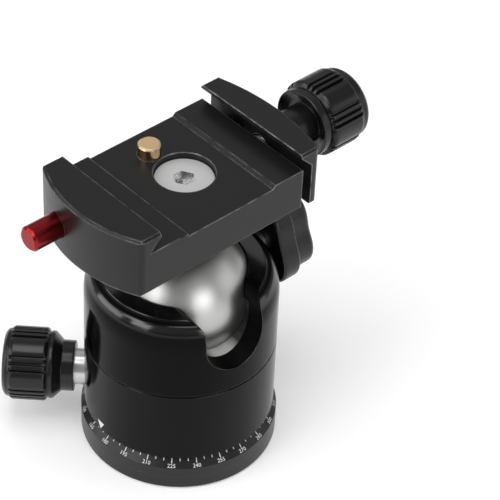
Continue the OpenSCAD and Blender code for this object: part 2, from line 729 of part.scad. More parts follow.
module stem_screw() color("#c4c5c7") difference() {
    union() {
        drum(m6_r, screw_end, cone_bottom + 0.1);
        translate([0, 0, cone_bottom]) cylinder(r1 = m6_r, r2 = head_r, h = head_r - m6_r);
        drum(head_r, cone_top, head_top);
    }
    translate([0, 0, head_top - hex_depth]) cylinder(r = hex_af / 2 / cos(30), h = far, $fn = 6);
}

// Side view of the moving jaw: a plate under an overhanging lip
function jaw_profile() = [[jaw_x, jaw_foot_z - cut], [moving_crown + cut, jaw_foot_z - cut],
    [moving_crown + cut, jaw_top + cut], [moving_lip, jaw_top + cut], [moving_lip, jaw_top - lip_edge],
    [jaw_x, jaw_top - lip_edge - lip_over - 0.2]];

module clamp_jaw() color("#222326") difference() {
    intersection() {
        translate([moving_crown, 0, 0]) rotate([0, 0, 180])
            d_block(moving_crown - moving_lip, moving_arc_r, jaw_foot_z, jaw_top);
        translate([0, half_w + 1, 0]) rotate([90, 0, 0]) linear_extrude(clamp_w + 2) polygon(jaw_profile());
    }
    along_x(0, 0, screw_z) cylinder(r = screw_r + 0.1, h = far);
    along_x(washer_seat, 0, screw_z) cylinder(r = neck_r + 0.6, h = far);
    for (side = [-1, 1]) along_x(0, side * guide_span / 2, guide_z) cylinder(r = guide_r, h = jaw_x + guide_seat);
}

module jaw_guide_pins() color("#b9babc") {
    for (side = [-1, 1]) along_x(guide_tip, side * guide_span / 2, guide_z)
        chamfered_drum(guide_r, 0, jaw_x + guide_seat - guide_tip, 0.3);
}

module jaw_springs() color("#a7a9ac") {
    for (side = [-1, 1]) along_x(spring_pocket_x + run_fit, side * guide_span / 2, guide_z)
        coil(guide_r + 0.45, jaw_wire, jaw_x - spring_pocket_x - 2 * run_fit, 6);
}

module clamp_thrust_washer() color("#c8a14b") along_x(washer_seat, 0, screw_z)
    tube(neck_r + 0.4, screw_r + seat_gap, 0, washer_t);

module clamp_screw() color("#8f9194") along_x(0, 0, screw_z) {
    tip_chamfer = 0.6;
    rotate_extrude() polygon([[0, screw_tip], [screw_r - tip_chamfer, screw_tip],
        [screw_r, screw_tip + tip_chamfer], [screw_r, knob_screw_x], [0, knob_screw_x]]);
}

module clamp_knob() color("#18191b") along_x(0, 0, screw_z) difference() {
    grip_x = knob_x + knob_rim_len + 0.9;
    union() {
        rotate_extrude() polygon([[0, neck_x], [neck_r, neck_x], [neck_r, knob_x + 1], [0, knob_x + 1]]);
        rotate_extrude() polygon([[neck_r - 0.2, knob_x + 0.9], [knob_rim_r - 1.3, knob_x + 0.7],
            [knob_rim_r - 0.8, knob_x], [knob_rim_r - 0.3, knob_x], [knob_rim_r, knob_x + 0.3],
            [knob_rim_r, knob_x + knob_rim_len - 0.4], [knob_rim_r - 0.3, knob_x + knob_rim_len - 0.3],
            [knob_rim_r - 0.3, knob_x + knob_rim_len], [clamp_knob_r - 0.1, grip_x], [0, grip_x], [0, knob_x + 0.9]]);
        translate([0, 0, grip_x]) linear_extrude(knob_end - knob_end_len - grip_x) fluted(clamp_knob_r, 6);
        drum(clamp_cap_r + cut * 0.7, grip_x - cut * 0.6, knob_end - knob_end_len + cut * 0.6);
        rotate_extrude() polygon(concat([[0, knob_end - knob_end_len]],
            shoulder(clamp_knob_r - 0.1, knob_end - knob_end_len, knob_end_in, knob_end_len, 8), [[0, knob_end]]));
    }
    drum(screw_r, 0, knob_screw_x + seat_gap);
    drum(clamp_cap_r, knob_end - cap_seat, far);
}

module clamp_knob_cap() color("#2a2b2e") along_x(knob_end - cap_seat, 0, screw_z)
    chamfered_drum(clamp_cap_r - run_fit, 0, cap_t, 0.3);

module safety_button() color("#a83236") difference() {
    union() {
        along_x(0, button_y, button_z) rotate_extrude() polygon([[0, button_x], [button_r - 0.5, button_x],
            [button_r, button_x + 0.5], [button_r, button_back], [0, button_back]]);
        along_x(button_back - cut, button_y, button_z) cylinder(r = rod_r, h = rod_end - button_back + cut);
        translate([0, button_y + blade_w / 2, 0]) rotate([90, 0, 0]) linear_extrude(blade_w) polygon([
            [rod_end - cut, blade_low], [blade_tip - blade_h, blade_low], [blade_tip, blade_top],
            [rod_end - cut, blade_top]]);
    }
    translate([stop_x - stop_r - catch_travel - 0.1, button_y - rod_r, button_z - 2 * rod_r - stop_flat])
        cube([catch_travel + 2 * stop_r + 0.2, rod_d, rod_d]);
}

module button_spring() color("#a7a9ac") along_x(button_back + run_fit, button_y, button_z)
    coil(rod_r + 0.55, button_wire, button_floor - button_back - 2 * run_fit, 7);

module button_stop_screw() color("#55575a") translate([stop_x, button_y, 0]) difference() {
    drum(stop_r, clamp_z + 0.3, button_z - stop_flat - seat_gap);
    translate([0, 0, clamp_z]) cylinder(r = 0.75, h = 1.5, $fn = 6);
}

module safety_pin() color("#c8a14b") difference() {
    translate([pin_x, pin_y, 0]) chamfered_drum(pin_r, pin_foot, pin_top, 0.4);
    translate([pin_x, pin_y, 0]) drum(pin_spring_hole, 0, spring_top);
    translate([0, notch_y, 0]) rotate([90, 0, 0]) linear_extrude(far) polygon([
        [ramp_x - 2 * blade_h, blade_low - 2 * blade_h], [ramp_x, blade_low],
        [ramp_x + catch_travel + blade_h + 0.1, blade_top + catch_travel + 0.1],
        [pin_x - pin_d, blade_top + catch_travel + 0.1], [pin_x - pin_d, blade_low - 2 * blade_h]]);
}

module pin_spring() color("#a7a9ac") translate([pin_x, pin_y, clamp_z + plug_t + run_fit])
    coil(pin_spring_r - pin_wire / 2, pin_wire, spring_top - clamp_z - plug_t - 2 * run_fit, 5);

module pin_plug() color("#55575a") translate([pin_x, pin_y, 0]) difference() {
    drum(plug_r, clamp_z, clamp_z + plug_t);
    translate([-far, -plug_slot_w / 2, clamp_z - cut]) cube([2 * far, plug_slot_w, plug_slot_d + cut]);
}

base_plate();
scale_ring();
tripod_socket();
pan_spindle();
spindle_screws();
pan_slip_ring();
pan_retaining_washer();
pan_retaining_screw();
housing_lower();
housing_upper();
housing_screws();
pressure_cup();
disc_springs();
upper_seat_ring();
ball_stem();
brake_shoe();
lock_screw();
lock_knob();
lock_knob_cap();
pan_brake_pad();
pan_lock_screw();
pan_knob();
pan_knob_cap();
clamp_body();
stem_screw();
clamp_jaw();
jaw_guide_pins();
jaw_springs();
clamp_thrust_washer();
clamp_screw();
clamp_knob();
clamp_knob_cap();
safety_button();
button_spring();
button_stop_screw();
safety_pin();
pin_spring();
pin_plug();
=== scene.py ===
import math

import bpy
import numpy as np
from mathutils import Matrix, Vector


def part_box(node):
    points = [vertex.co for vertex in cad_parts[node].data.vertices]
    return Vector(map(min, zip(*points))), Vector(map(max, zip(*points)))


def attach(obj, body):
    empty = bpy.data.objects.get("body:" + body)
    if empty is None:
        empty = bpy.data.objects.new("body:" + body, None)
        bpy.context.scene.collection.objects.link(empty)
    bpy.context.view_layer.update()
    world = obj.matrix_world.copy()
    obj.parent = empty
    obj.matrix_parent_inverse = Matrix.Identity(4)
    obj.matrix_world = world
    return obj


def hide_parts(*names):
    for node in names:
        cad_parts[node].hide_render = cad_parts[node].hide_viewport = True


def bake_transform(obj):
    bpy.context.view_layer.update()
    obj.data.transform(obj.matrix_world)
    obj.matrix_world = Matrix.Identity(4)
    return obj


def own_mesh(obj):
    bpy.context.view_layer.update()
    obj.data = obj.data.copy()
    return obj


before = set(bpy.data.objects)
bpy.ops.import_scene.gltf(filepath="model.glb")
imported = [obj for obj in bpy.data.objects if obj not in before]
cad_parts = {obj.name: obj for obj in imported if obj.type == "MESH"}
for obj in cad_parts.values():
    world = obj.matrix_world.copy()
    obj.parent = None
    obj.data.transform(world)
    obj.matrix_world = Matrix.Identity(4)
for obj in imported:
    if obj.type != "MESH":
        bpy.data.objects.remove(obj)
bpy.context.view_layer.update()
print("frame loaded:", len(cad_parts), "nodes")

mm = 0.001


def putInScene(name, data):
    made = bpy.data.objects.new(name, data)
    bpy.context.scene.collection.objects.link(made)
    return made


cameraSpec = {
    "place": (-239.299, -267.855, 360.078),
    "azimuth": -43.306,  # round +Z, 0 looks along +Y
    "elevation": 40.885,
    "roll": -2.476,
    "frame": 500,  # width of the square frame in pixels
    "focal": 2356.457,  # in pixels
    "centre": (230.202, 246.591),  # where the lens axis meets the frame, in pixels
    "sensor": 36,
    "near": 10,
}


# The lens looks against back; the roll turns the frame: across = cos(roll) right - sin(roll) up,
# upward = sin(roll) right + cos(roll) up
def makeCamera(spec):
    azimuth, elevation, roll = (math.radians(spec[key]) for key in ("azimuth", "elevation", "roll"))
    level = math.cos(elevation)
    back = Vector((math.sin(azimuth) * level, -math.cos(azimuth) * level, math.sin(elevation)))
    right = Vector((math.cos(azimuth), math.sin(azimuth), 0))
    up = back.cross(right)
    across = math.cos(roll) * right - math.sin(roll) * up
    upward = math.sin(roll) * right + math.cos(roll) * up
    pixels = spec["frame"]
    data = bpy.data.cameras.new("headCamera")
    data.sensor_width = spec["sensor"]
    data.lens = spec["focal"] / pixels * spec["sensor"]
    data.shift_x = (pixels / 2 - spec["centre"][0]) / pixels
    data.shift_y = -(pixels / 2 - spec["centre"][1]) / pixels
    data.clip_start = spec["near"] * mm
    camera = putInScene("headCamera", data)
    turned = Matrix((across, upward, back)).transposed().to_4x4()
    camera.matrix_world = Matrix.Translation(Vector(spec["place"]) * mm) @ turned
    bpy.context.scene.camera = camera


lampTarget = (0, 0, 0.045)  # metres
lampSpec = {
    # azimuth and elevation seen from the head, then distance, width and height in metres, and watts
    "rightKey": (-6, 14, 0.85, 0.42, 0.40, 1.70),
    "leftKey": (-86, 22, 0.85, 0.30, 0.50, 1.50),
    "rightFill": (48, 16, 0.90, 0.60, 0.50, 0.80),
    "leftFill": (-128, 16, 0.90, 0.60, 0.50, 2.40),
    "backTop": (140, 46, 0.90, 0.80, 0.60, 0.45),
    "overhead": (-40, 80, 0.90, 0.60, 0.60, 4.60),
    "edgeLeft": (-104, 44, 0.90, 0.40, 0.30, 1.20),
}


def makeLamps(spec):
    target = Vector(lampTarget)
    for name, (azimuth, elevation, distance, width, height, power) in spec.items():
        turn, lift = math.radians(azimuth), math.radians(elevation)
        level = math.cos(lift)
        away = Vector((math.sin(turn) * level, -math.cos(turn) * level, math.sin(lift)))
        data = bpy.data.lights.new(name, "AREA")
        data.shape = "RECTANGLE"
        data.size, data.size_y = width, height
        data.energy = power
        lamp = putInScene(name, data)
        lamp.location = target + away * distance
        lamp.rotation_euler = (-away).to_track_quat("-Z", "Y").to_euler()


makeCamera(cameraSpec)
makeLamps(lampSpec)
print("camera and lamps set")


# A socket of a finish: arithmetic on it adds Math nodes
class Wire:
    def __init__(self, finish, socket):
        self.finish, self.socket = finish, socket

    def maths(self, operation, first, second):
        return self.finish.node("ShaderNodeMath", {"operation": operation}, {0: first, 1: second})

    def __add__(self, other): return self.maths("ADD", self, other)
    def __radd__(self, other): return self.maths("ADD", other, self)
    def __sub__(self, other): return self.maths("SUBTRACT", self, other)
    def __rsub__(self, other): return self.maths("SUBTRACT", other, self)
    def __mul__(self, other): return self.maths("MULTIPLY", self, other)
    def __rmul__(self, other): return self.maths("MULTIPLY", other, self)
    def __truediv__(self, other): return self.maths("DIVIDE", self, other)
    def __rtruediv__(self, other): return self.maths("DIVIDE", other, self)
    def __pow__(self, other): return self.maths("POWER", self, other)
    def __rpow__(self, other): return self.maths("POWER", other, self)


# A material under construction
class Finish:
    def __init__(self, name):
        self.material = bpy.data.materials.new(name)
        self.material.use_nodes = True
        self.tree = self.material.node_tree
        self.tree.nodes.clear()

    # Adds one node: its settings first, then the values or wires of its inputs
    def node(self, kind, settings, inputs, out=0):
        made = self.tree.nodes.new(kind)
        for key, value in settings.items():
            setattr(made, key, value)
        for key, value in inputs.items():
            if isinstance(value, Wire):
                self.tree.links.new(value.socket, made.inputs[key])
            else:
                made.inputs[key].default_value = value
        return Wire(self, made.outputs[out])

    # Object coordinates, moved and turned so that a pattern lies along the piece
    def place(self, centre=(0, 0, 0), turn=(0, 0, 0)):
        here = self.node("ShaderNodeTexCoord", {}, {}, out=3)
        moved = self.node("ShaderNodeVectorMath", {"operation": "SUBTRACT"}, {0: here, 1: centre})
        return self.node("ShaderNodeMapping", {}, {"Vector": moved, "Rotation": turn})

    def noise(self, where, scale, detail=2.0, rough=0.5):
        inputs = {"Vector": where, "Scale": scale, "Detail": detail, "Roughness": rough}
        return self.node("ShaderNodeTexNoise", {}, inputs)

    def parts(self, where):
        return [self.node("ShaderNodeSeparateXYZ", {}, {0: where}, out=k) for k in range(3)]

    # Rings round the z axis of where: a noise read by the distance from that axis and the height along it
    def rings(self, where, pitch, detail=3.0, rough=0.6):
        x, y, z = self.parts(where)
        radius = (x * x + y * y) ** 0.5
        along = self.node("ShaderNodeCombineXYZ", {}, {0: radius / pitch, 1: z / pitch, 2: 0.0})
        return self.noise(along, 1.0, detail, rough)

    def colourMix(self, mask, first, second):
        first, second = (value if isinstance(value, Wire) else (*value, 1) for value in (first, second))
        return self.node("ShaderNodeMix", {"data_type": "RGBA"}, {0: mask, 6: first, 7: second}, out=2)

    # Rises from 0 to 1 between two levels of a value
    def ramp(self, value, low, high):
        return self.node("ShaderNodeMapRange", {"clamp": True}, {0: value, 1: low, 2: high})

    # Swings by spread about a middle value, with a wave that averages a half
    def uneven(self, middle, wave, spread):
        return middle - spread / 2 + wave * spread

    def soften(self, radius, samples=6):
        return self.node("ShaderNodeBevel", {"samples": samples}, {"Radius": radius})

    # 1 along the edges of a piece, where a rounded normal leaves the face's own: 1 - dot(rounded, own)
    def worn(self, rounded, low=0.02, high=0.22):
        own = self.node("ShaderNodeNewGeometry", {}, {}, out=1)
        match = self.node("ShaderNodeVectorMath", {"operation": "DOT_PRODUCT"}, {0: rounded, 1: own}, out=1)
        return self.ramp(1 - match, low, high)

    def bump(self, height, distance, normal=None):
        inputs = {"Strength": 1.0, "Distance": distance, "Height": height}
        if normal:
            inputs["Normal"] = normal
        return self.node("ShaderNodeBump", {}, inputs)

    def skin(self, **sockets):
        inputs = {key.replace("_", " "): value for key, value in sockets.items()}
        return self.node("ShaderNodeBsdfPrincipled", {}, inputs)

    def mixSkins(self, mask, first, second):
        return self.node("ShaderNodeMixShader", {}, {0: mask, 1: first, 2: second})

    def close(self, shader):
        end = self.tree.nodes.new("ShaderNodeOutputMaterial")
        self.tree.links.new(shader.socket, end.inputs["Surface"])
        return self.material


def scaled(colour, factor):
    return tuple(value * factor for value in colour)


anodisedLook = {
    # noises: cells in a metre, detail, roughness
    "speckle": (9000, 2.0, 0.6), "cloud": (90, 3.0, 0.55), "handling": (260, 4.0, 0.7), "patches": (400, 3.0),
    "handled": (0.52, 0.75), "highlightAndWear": (0.30, 0.62),  # levels of a noise between which its marks set in
    "thinDye": (0.85, 0.85, 0.90), "deepDye": 1.2, "highlightAndWearTint": (1, 1, 0.98),  # of the tone, of the painted edge highlight and wear
    "unevenness": 0.08, "handledDull": 0.03, "rubbedShine": 0.08,  # of the roughness
}
# level and edgeLevel are the specular levels of face and edges, edge is how wide the edges are rounded, the edge
# grey is the lighter grey painted on them as a painted edge highlight, partly wear, and bare how metallic they
# are
anodised = {
    "clampBlack": {"tone": 0.007, "roughness": 0.34, "grain": 0.003, "level": 0.28,
                   "edge": 0.55, "highlightAndWearGrey": 0.34, "edgeLevel": 1.0, "bare": 0.5},
    "knobBlack": {"tone": 0.006, "roughness": 0.26, "grain": 0.0012, "level": 0.36,
                  "edge": 0.12, "highlightAndWearGrey": 0.05, "edgeLevel": 0.7, "bare": 0.0},
    "ringBlack": {"tone": 0.008, "roughness": 0.32, "grain": 0.002, "level": 0.35,
                  "edge": 0.10, "highlightAndWearGrey": 0.06, "edgeLevel": 0.7, "bare": 0.0},
}


# Black anodised aluminium: fine blasted grain, a slow change of dye depth, handling marks that dull the sheen,
# and edges painted a lighter grey on a brighter skin where mask = edges * patches, a painted edge highlight that
# is partly wear
def blackAnodised(name, spec, look=anodisedLook):
    finish = Finish(name)
    where = finish.place()
    tone = spec["tone"]
    speckle = finish.noise(where, *look["speckle"])
    cloud = finish.noise(where, *look["cloud"])
    handled = finish.ramp(finish.noise(where, *look["handling"]), *look["handled"])
    rounded = finish.soften(spec["edge"] * mm)
    # painted edge highlight, partly wear: the edges are painted a lighter grey, in patches, on a brighter skin
    highlightAndWear = finish.worn(rounded) * finish.ramp(finish.noise(where, *look["patches"]), *look["highlightAndWear"])
    dyed = finish.colourMix(cloud, scaled(look["thinDye"], tone), (tone * look["deepDye"],) * 3)
    colour = finish.colourMix(highlightAndWear, dyed, scaled(look["highlightAndWearTint"], spec["highlightAndWearGrey"]))
    grained = finish.bump(speckle, spec["grain"] * mm, rounded)
    dulled = finish.uneven(spec["roughness"], cloud, look["unevenness"]) + handled * look["handledDull"]
    face = finish.skin(Base_Color=colour, Roughness=dulled, Normal=grained, Specular_IOR_Level=spec["level"])
    bright = finish.skin(Base_Color=colour, Metallic=spec["bare"], Roughness=dulled - look["rubbedShine"],
                         Normal=grained, Specular_IOR_Level=spec["edgeLevel"])
    return finish.close(finish.mixSkins(highlightAndWear, face, bright))


shellLook = {
    "shoulder": 37.6, "top": 44.25, "neck": 17.59, "in": 2.5,  # heights and radii of the wall's formula
    "under": (-0.6, -0.35),  # how far under that radius the lacquer ends
    "rim": (44.0, 0.1), "shoulderSheen": (41.2, 1.4),  # heights where they start, and how fast they set in
    "cloud": (90, 3.0, 0.55), "flow": (7000, 2.0), "dullGrain": (3000, 2.0),  # noises as above
    "flowDepth": 0.0006, "dullDepth": 0.003, "edge": 0.35, "dullEdge": 0.25, "worn": (0.03, 0.25),
    "thin": 0.8, "thick": 1.2, "dullThick": 1.4,  # of the tone
    "unevenness": 0.06, "edgeDull": 0.04, "dullRoughness": 0.46, "dullUnevenness": 0.10,
    "shoulderLevel": 0.70, "edgeLevel": 1.0, "dullLevel": 0.10,
}
shells = {
    "shellUpper": {"tone": 0.001, "roughness": 0.13, "level": 0.075},
    "shellLower": {"tone": 0.002, "roughness": 0.14, "level": 0.11},
}


# Lacquered shell: glossy outside, dull in the bore and the slot; the outside lies within a hair of the wall
# radius neck + in * sqrt(1 - s^2), where s is how far up the shoulder the point is
def lacqueredShell(name, spec, look=shellLook):
    finish = Finish(name)
    where = finish.place()
    tone = spec["tone"]
    cloud = finish.noise(where, *look["cloud"])
    x, y, z = finish.parts(where)
    radius = (x * x + y * y) ** 0.5
    up = finish.ramp(z, look["shoulder"] * mm, look["top"] * mm)
    wall = look["neck"] * mm + look["in"] * mm * (1 - up * up) ** 0.5
    low, high = (depth * mm for depth in look["under"])
    rim, rimRise = (height * mm for height in look["rim"])
    outside = finish.ramp(radius - wall, low, high) + finish.ramp(z, rim, rim + rimRise)
    paint = finish.colourMix(cloud, (tone * look["thin"],) * 3, (tone * look["thick"],) * 3)
    sheen = finish.uneven(spec["roughness"], cloud, look["unevenness"])
    rounded = finish.soften(look["edge"] * mm)
    even = finish.bump(finish.noise(where, *look["flow"]), look["flowDepth"] * mm, rounded)
    wallSkin = finish.skin(Base_Color=paint, Roughness=sheen, Normal=even, Specular_IOR_Level=spec["level"])
    shoulderSkin = finish.skin(Base_Color=paint, Roughness=sheen, Normal=even,
                               Specular_IOR_Level=look["shoulderLevel"])
    start, rise = (height * mm for height in look["shoulderSheen"])
    onShoulder = finish.ramp(z, start, start + rise)
    edgeSkin = finish.skin(Base_Color=paint, Roughness=sheen + look["edgeDull"], Normal=even,
                           Specular_IOR_Level=look["edgeLevel"])
    glossy = finish.mixSkins(onShoulder, wallSkin, shoulderSkin)
    glossy = finish.mixSkins(finish.worn(rounded, *look["worn"]), glossy, edgeSkin)
    dullGrain = finish.noise(where, *look["dullGrain"])
    dull = finish.skin(
        Base_Color=finish.colourMix(cloud, (tone * look["thin"],) * 3, (tone * look["dullThick"],) * 3),
        Roughness=look["dullRoughness"] + cloud * look["dullUnevenness"],
        Normal=finish.bump(dullGrain, look["dullDepth"] * mm, finish.soften(look["dullEdge"] * mm)),
        Specular_IOR_Level=look["dullLevel"],
    )
    return finish.close(finish.mixSkins(finish.ramp(outside, 0.0, 1.0), dull, glossy))


metalLook = {
    "centre": (0, 0, 0), "turn": (0, 0, 0), "roughness": 0.30, "pitch": 0.05, "depth": 0.002, "edge": 0.10,
    "metallic": 1.0, "faceFrom": None, "faceRise": 0.10, "bareRoughness": 0.22,
    "cloud": (150, 2.0), "thin": 0.88, "unevenness": 0.12,
}
metals = {
    "ballSatin": {"colour": (0.50, 0.50, 0.49), "centre": (0, 0, 38), "roughness": 0.36, "pitch": 0.06,
                  "depth": 0.0010},
    "screwSatin": {"colour": (0.60, 0.60, 0.60), "centre": (0, 0, 60), "roughness": 0.46, "pitch": 0.08,
                   "edge": 0.14, "metallic": 0.35, "faceFrom": 66.45},
    "pinBrass": {"colour": (0.66, 0.46, 0.26), "centre": (-1.6, 8.8, 60), "roughness": 0.38, "pitch": 0.06,
                 "depth": 0.003, "metallic": 0.55, "faceFrom": 70.55},
    "buttonRed": {"colour": (0.30, 0.020, 0.022), "centre": (0, 6.4, 64.8), "turn": (0, 90, 0),
                  "roughness": 0.24, "pitch": 0.08, "depth": 0.0015, "edge": 0.2},
    "shaftBright": {"colour": (0.62, 0.62, 0.62), "centre": (0, 0, 13.6), "turn": (0, 90, -135.2),
                    "roughness": 0.28, "pitch": 0.1},
    "screwSteel": {"colour": (0.50, 0.50, 0.51), "roughness": 0.34},
    "hiddenSteel": {"colour": (0.56, 0.56, 0.57), "roughness": 0.35},
    "darkSteel": {"colour": (0.10, 0.10, 0.11), "roughness": 0.38},
    "springBright": {"colour": (0.55, 0.56, 0.58), "roughness": 0.28},
    "washerBrass": {"colour": (0.70, 0.50, 0.24), "centre": (0, 0, 64.5), "turn": (0, 90, 0),
                    "roughness": 0.36},
}


# Turned metal: rings about the piece's own axis, with a soft change of sheen from place to place; above the
# height faceFrom it is blasted pale, and under it bare and bright
def turnedMetal(name, spec):
    finish = Finish(name)
    spec = {**metalLook, **spec}
    centre, turn = scaled(spec["centre"], mm), tuple(math.radians(angle) for angle in spec["turn"])
    lathe = finish.rings(finish.place(centre, turn), spec["pitch"] * mm)
    cloud = finish.noise(finish.place(), *spec["cloud"])
    metallic, roughness = spec["metallic"], spec["roughness"]
    if spec["faceFrom"]:
        top = spec["faceFrom"] * mm
        blasted = finish.ramp(finish.parts(finish.place())[2], top - spec["faceRise"] * mm, top)
        metallic = 1 - blasted * (1 - metallic)
        roughness = spec["bareRoughness"] + blasted * (roughness - spec["bareRoughness"])
    return finish.close(finish.skin(
        Base_Color=finish.colourMix(cloud, scaled(spec["colour"], spec["thin"]), spec["colour"]),
        Metallic=metallic,
        Roughness=finish.uneven(roughness, lathe, spec["unevenness"]),
        Normal=finish.bump(lathe, spec["depth"] * mm, finish.soften(spec["edge"] * mm)),
    ))


mouldedLook = {
    "roughness": 0.5, "grain": 0.003, "paintedShadeHeights": None, "paintedShadeColour": (0.02, 0.02, 0.02),
    "cloud": (120,), "speckle": (4000, 3.0), "thin": 0.92, "unevenness": 0.12,
}
plastics = {
    # the cup is painted near black above its foot: painted shade between the ball and the slot wall
    "linerGrey": {"colour": (0.55, 0.55, 0.54), "roughness": 0.38, "paintedShadeHeights": (31.35, 32.35)},
    "linerBlack": {"colour": (0.012, 0.012, 0.012), "roughness": 0.34},
    "slipWhite": {"colour": (0.70, 0.70, 0.67), "roughness": 0.45},
    "markWhite": {"colour": (0.74, 0.74, 0.72), "roughness": 0.55, "grain": 0.001},
}


# Moulded plastic or paint: a faint skin over an even colour, which painted shade darkens above a band of heights
def moulded(name, spec):
    finish = Finish(name)
    spec = {**mouldedLook, **spec}
    where = finish.place()
    cloud = finish.noise(where, *spec["cloud"])
    paint = finish.colourMix(cloud, scaled(spec["colour"], spec["thin"]), spec["colour"])
    if spec["paintedShadeHeights"]:
        # painted shade: the colour turns near black between the two heights and above them
        paintedShade = finish.ramp(finish.parts(where)[2], *scaled(spec["paintedShadeHeights"], mm))
        paint = finish.colourMix(paintedShade, paint, spec["paintedShadeColour"])
    return finish.close(finish.skin(
        Base_Color=paint,
        Roughness=finish.uneven(spec["roughness"], cloud, spec["unevenness"]),
        Normal=finish.bump(finish.noise(where, *spec["speckle"]), spec["grain"] * mm),
    ))


recipes = ((blackAnodised, anodised), (lacqueredShell, shells), (turnedMetal, metals), (moulded, plastics))
finishes = {name: recipe(name, spec) for recipe, specs in recipes for name, spec in specs.items()}
print("finishes made:", len(finishes))

nodeFinish = {
    "clampBlack": ("clamp_body", "clamp_jaw"),
    "ringBlack": ("base_plate", "scale_ring"),
    "knobBlack": ("lock_knob", "lock_knob_cap", "pan_knob", "pan_knob_cap", "clamp_knob", "clamp_knob_cap"),
    "shellUpper": ("housing_upper",),
    "shellLower": ("housing_lower",),
    "ballSatin": ("ball_stem",),
    "screwSatin": ("stem_screw",),
    "pinBrass": ("safety_pin",),
    "buttonRed": ("safety_button",),
    "shaftBright": ("pan_lock_screw",),
    "screwSteel": ("clamp_screw",),
    "hiddenSteel": ("tripod_socket", "pan_spindle", "pan_retaining_washer", "lock_screw", "jaw_guide_pins"),
    "darkSteel": ("spindle_screws", "pan_retaining_screw", "housing_screws", "button_stop_screw", "pin_plug"),
    "springBright": ("disc_springs", "jaw_springs", "button_spring", "pin_spring"),
    "washerBrass": ("brake_shoe", "pan_brake_pad", "clamp_thrust_washer"),
    "linerGrey": ("pressure_cup",),
    "linerBlack": ("upper_seat_ring",),
    "slipWhite": ("pan_slip_ring",),
}


def dressNodes(spec):
    choice = {node: finish for finish, nodes in spec.items() for node in nodes}
    for name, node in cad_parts.items():
        node.data.materials.clear()
        node.data.materials.append(finishes[choice[name]])


dressNodes(nodeFinish)
print("nodes dressed")


# Corner list to profile: each corner (along, radius, cut) is rounded over its cut by the quadratic curve
# (1 - t)^2 before + 2 t (1 - t) corner + t^2 after, then every stretch longer than the limit is divided
def roundedProfile(corners, longest, steps=4):
    spots = np.array([corner[:2] for corner in corners], float)
    kept = [spots[0]]
    for k in range(1, len(spots) - 1):
        cut = corners[k][2] if len(corners[k]) > 2 else 0
        if not cut:
            kept.append(spots[k])
            continue
        legs = [spots[k - 1] - spots[k], spots[k + 1] - spots[k]]
        before, after = (spots[k] + leg / np.hypot(*leg) * min(cut, 0.5 * np.hypot(*leg)) for leg in legs)
        t = np.linspace(0, 1, steps + 1)[:, None]
        kept.extend((1 - t) ** 2 * before + 2 * t * (1 - t) * spots[k] + t ** 2 * after)
    kept.append(spots[-1])
    dense = [kept[0]]
    for start, end in zip(kept[:-1], kept[1:]):
        parts = max(1, math.ceil(np.hypot(*(end - start)) / longest))
        dense.extend(start + (end - start) * (k + 1) / parts for k in range(parts))
    return np.array(dense)


def fullTurn(columns):
    return np.linspace(0, 2 * math.pi, columns, endpoint=False)


# Where a turned piece stands: a centre and the three directions along, beside and above its axis
def axisPlace(centre, degrees=0.0, upright=False):
    turn = math.radians(degrees)
    along = np.array([math.cos(turn), math.sin(turn), 0])
    beside = np.array([-math.sin(turn), math.cos(turn), 0])
    above = np.array([0, 0, 1.0])
    if upright:
        along, beside, above = above, along, beside
    return np.array(centre, float), along, beside, above


# Turning: point = centre + distance along + radius * (cos(turn) beside + sin(turn) above)
def turnedRows(distance, radius, turns, where):
    centre, along, beside, above = where
    spoke = np.cos(turns)[:, None] * beside + np.sin(turns)[:, None] * above
    return centre + distance[:, None, None] * along + radius[..., None] * spoke[None]


# Grid to closed mesh: columns close on themselves, and the first and last rows shrink to a pole at their middle
def addTurned(name, rows, finish, body, node):
    count, across = rows.shape[:2]
    index = np.arange(count * across).reshape(count, across)
    beside = np.roll(index, -1, axis=1)
    faces = np.stack([index[:-1], beside[:-1], beside[1:], index[1:]], -1).reshape(-1, 4).tolist()
    poles = np.array([rows[0].mean(0), rows[-1].mean(0)])
    first = count * across
    faces += np.stack([np.full(across, first), beside[0], index[0]], -1).tolist()
    faces += np.stack([np.full(across, first + 1), index[-1], beside[-1]], -1).tolist()
    return addPiece(name, np.concatenate([rows.reshape(-1, 3), poles]), faces, finish, body, node)


# Points in mm to a smooth mesh, sharp above the crease angle. A piece that goes with two bodies is given none.
def addPiece(name, points, faces, finish, body, node=None, crease=38):
    mesh = bpy.data.meshes.new(name)
    mesh.from_pydata((np.asarray(points) * mm).tolist(), [], faces)
    mesh.polygons.foreach_set("use_smooth", np.ones(len(mesh.polygons), bool))
    mesh.set_sharp_from_angle(angle=math.radians(crease))
    mesh.materials.append(finishes[finish])
    piece = putInScene(name, mesh)
    if body:
        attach(piece, body)
    if node:
        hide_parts(node)
    return piece


gripLayout = {
    "groups": 6,  # of three grooves, round a grip
    "wall": (1.5, 2.2, 2.7, 3.1), "wallDepth": (1, 0.86, 0.14, 0),  # from a groove's middle, share of depth
    "landFrom": 4.6, "landColumns": 6,  # columns of half a wide land, the first this far from its groove's middle
    "landFade": 0.3,  # length over which crown and drop set in at both ends of the grooves
    "longest": 0.45,  # longest stretch of the profile
}
